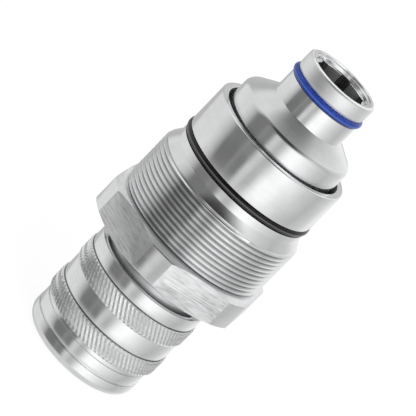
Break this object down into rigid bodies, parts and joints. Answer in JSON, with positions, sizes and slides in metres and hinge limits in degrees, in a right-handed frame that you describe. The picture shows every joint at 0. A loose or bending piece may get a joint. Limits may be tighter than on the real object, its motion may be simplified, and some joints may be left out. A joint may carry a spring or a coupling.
{
  "type": "hydraulic quick coupler cartridge",
  "caption": "Turned steel coupler cartridge: knurled locking sleeve, hexagon gland with fine thread and O-ring, coned body ending in an O-ring nose with a hexagon socket.",
  "frame": {"origin": "on the axis, in the plane of the flat front face where the plug enters", "axes": "+Z along the axis, from the front face to the nose; two corners of the hexagon lie along Y"},
  "size_m": [0.05, 0.054, 0.109],
  "materials": {
    "plated_sleeve": "bright plated, fine turning marks, knurled bands",
    "plated_gland": "bright plated, turned, with milled hexagon flats",
    "plated_body": "bright plated, fine turning marks",
    "plain_steel": "turned and oiled steel",
    "spring_steel": "drawn spring steel",
    "bearing_balls": "polished",
    "black_rubber": "moulded rubber, slightly glossy",
    "blue_rubber": "moulded rubber, glossy"
  },
  "bodies": {
    "cartridge": {"front_body": "plated_body", "locking_balls": "bearing_balls", "sleeve_retaining_ring": "spring_steel", "sleeve_spring": "spring_steel", "gland_retaining_ring": "spring_steel", "rear_body": "plated_body", "nose_o_ring": "blue_rubber", "body_joint_seal": "black_rubber", "plug_seal": "black_rubber", "dust_ring_spring": "spring_steel", "valve_guide": "plain_steel", "valve_sleeve_seal": "black_rubber", "valve_spring": "spring_steel", "valve_stem": "plain_steel", "stem_seal": "black_rubber", "stem_support": "plain_steel", "stem_nut": "plain_steel"},
    "gland": {"gland_nut": "plated_gland", "gland_o_ring": "black_rubber"},
    "sleeve_carrier": {"sleeve_thrust_washer": "plain_steel"},
    "sleeve": {"locking_sleeve": "plated_sleeve"},
    "dust_ring": {"dust_ring": "plain_steel"},
    "valve_sleeve": {"valve_sleeve": "plain_steel"}
  },
  "joints": [
    {"name": "gland_turn", "type": "hinge", "parent": "cartridge", "child": "gland", "pos_m": [0, 0, 0.04285], "axis": [0, 0, 1], "continuous": true},
    {"name": "sleeve_pull", "type": "slide", "parent": "cartridge", "child": "sleeve_carrier", "axis": [0, 0, 1], "range_m": [0, 0.004], "stiffness_N_per_m": 5000, "springref_m": -0.008, "deforming": ["sleeve_spring"]},
    {"name": "sleeve_turn", "type": "hinge", "parent": "sleeve_carrier", "child": "sleeve", "pos_m": [0, 0, 0.0165], "axis": [0, 0, 1], "continuous": true},
    {"name": "dust_ring_push", "type": "slide", "parent": "cartridge", "child": "dust_ring", "axis": [0, 0, 1], "range_m": [0, 0.0095], "stiffness_N_per_m": 2000, "springref_m": -0.008, "deforming": ["dust_ring_spring"]},
    {"name": "valve_push", "type": "slide", "parent": "cartridge", "child": "valve_sleeve", "axis": [0, 0, 1], "range_m": [0, 0.0095], "stiffness_N_per_m": 4000, "springref_m": -0.01, "deforming": ["valve_spring"]}
  ]
}
